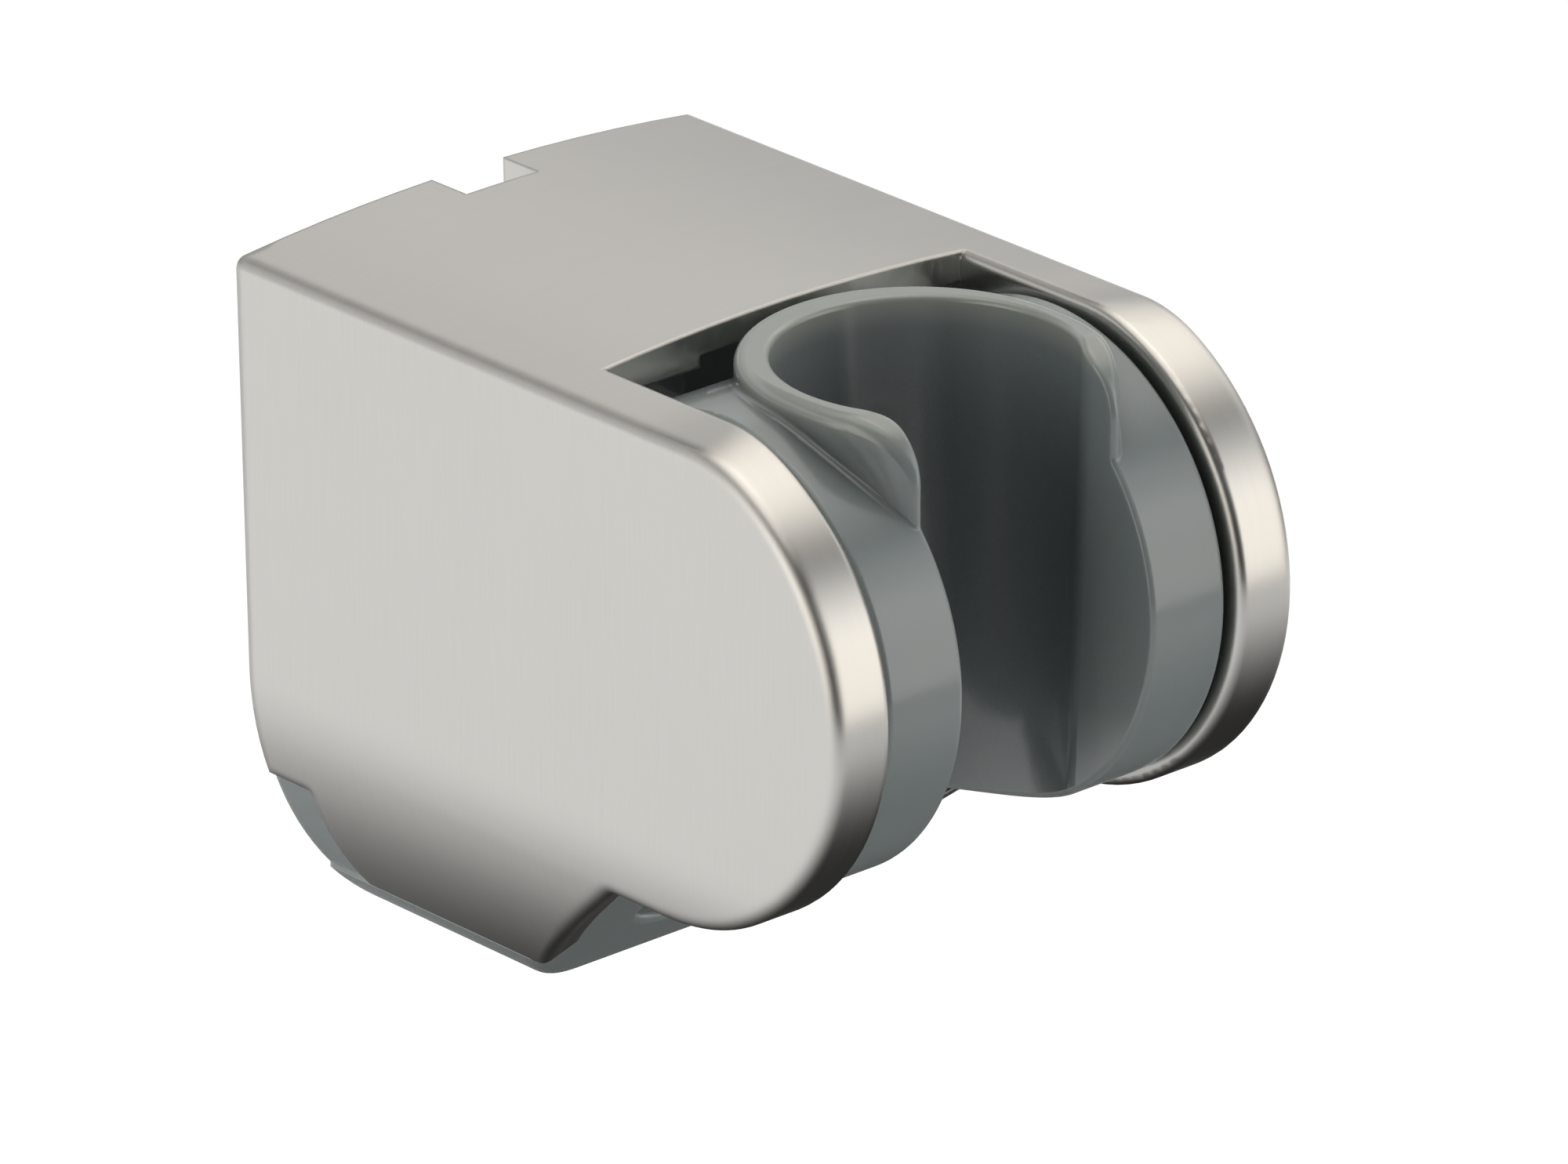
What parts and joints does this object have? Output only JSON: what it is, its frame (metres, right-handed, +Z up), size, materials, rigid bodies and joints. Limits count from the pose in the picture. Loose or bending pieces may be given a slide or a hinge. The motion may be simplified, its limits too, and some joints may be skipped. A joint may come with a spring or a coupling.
{
  "type": "hand shower holder",
  "caption": "Wall-mounted hand shower holder: a brushed cover with round-ended arms and a grey cradle that tilts between them, its tapered socket open at the front.",
  "frame": {"origin": "on the wall plane, midway between the wall screws", "axes": "+X to the right as seen facing the wall, +Y into the wall, +Z up"},
  "size_m": [0.0502, 0.0736, 0.0637],
  "materials": {
    "brushed_nickel": "satin nickel plating with a fine brushed grain",
    "grey_plastic": "moulded, semi-gloss",
    "steel": "drawn stainless steel",
    "white_plastic": "moulded acetal",
    "black_rubber": "matt"
  },
  "bodies": {
    "holder": {"cover": "brushed_nickel", "wall_base": "grey_plastic", "pivot_bush_right": "white_plastic", "pivot_bush_left": "white_plastic"},
    "cradle": {"cradle": "grey_plastic", "pivot_pin_right": "steel", "pivot_pin_left": "steel", "pivot_spring_right": "steel", "pivot_spring_left": "steel", "friction_ring_right": "black_rubber", "friction_ring_left": "black_rubber"}
  },
  "joints": [
    {"name": "cradle_tilt", "type": "hinge", "parent": "holder", "child": "cradle", "pos_m": [0, -0.052, 0.0097], "axis": [1, 0, 0], "range_deg": [0, 45]}
  ]
}
